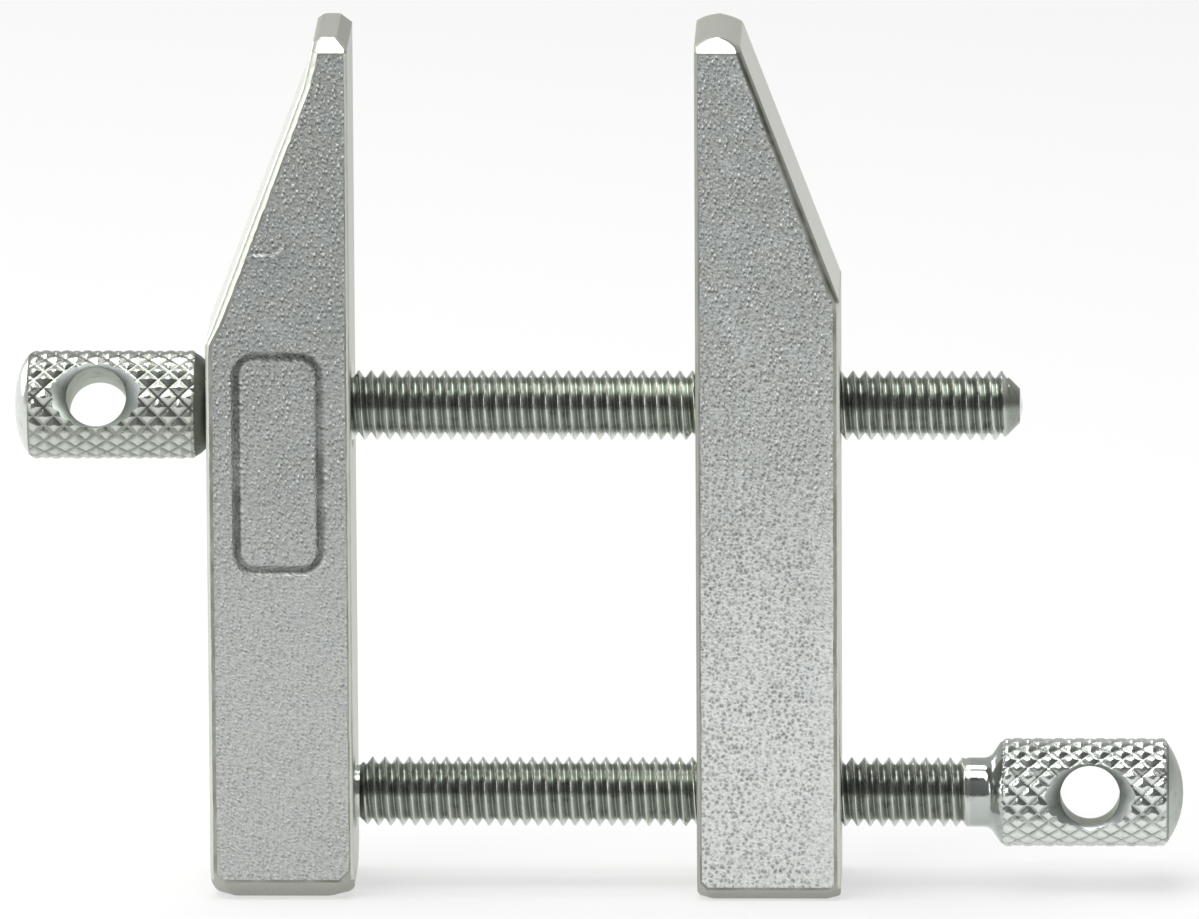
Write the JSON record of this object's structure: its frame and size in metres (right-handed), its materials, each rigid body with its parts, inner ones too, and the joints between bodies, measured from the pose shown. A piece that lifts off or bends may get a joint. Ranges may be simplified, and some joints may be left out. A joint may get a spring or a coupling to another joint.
{
  "type": "toolmakers clamp",
  "caption": "Parallel toolmakers clamp: tapered steel jaws drawn together by knurled, cross-drilled screws, one jaw plain and one tapped, bright zinc finish",
  "frame": {"origin": "middle of the clamp's length and depth, on the plane that the heels of both jaws stand on", "axes": "+X runs along the screws from the front screw's head to the rear screw's head, +Z runs from heels to tips, and the front of the clamp faces -Y"},
  "size_m": [0.0662, 0.008, 0.05],
  "materials": {
    "jaw_zinc": "bright zinc plate over as-cast faces and ground sides",
    "screw_zinc": "bright zinc plate over turned and knurled steel"
  },
  "bodies": {
    "plain_jaw": {"plain_jaw": "jaw_zinc"},
    "tapped_jaw": {"tapped_jaw": "jaw_zinc"},
    "front_screw": {"front_screw": "screw_zinc"},
    "rear_screw": {"rear_screw": "screw_zinc"}
  },
  "joints": [
    {"name": "tapped_jaw_slide", "type": "slide", "parent": "plain_jaw", "child": "tapped_jaw", "axis": [1, 0, 0], "range_m": [-0.01946, 0.007]},
    {"name": "front_screw_turn", "type": "hinge", "parent": "plain_jaw", "child": "front_screw", "pos_m": [0, 0, 0.028], "axis": [1, 0, 0], "range_deg": [-3601, 10009]},
    {"name": "rear_screw_turn", "type": "hinge", "parent": "plain_jaw", "child": "rear_screw", "pos_m": [0, 0, 0.0054], "axis": [1, 0, 0], "range_deg": [-3601, 10009]}
  ],
  "couplings": [
    {"joint": "front_screw_turn", "follows": "tapped_jaw_slide", "rad_per_m": -8976},
    {"joint": "rear_screw_turn", "follows": "tapped_jaw_slide", "rad_per_m": -8976}
  ]
}
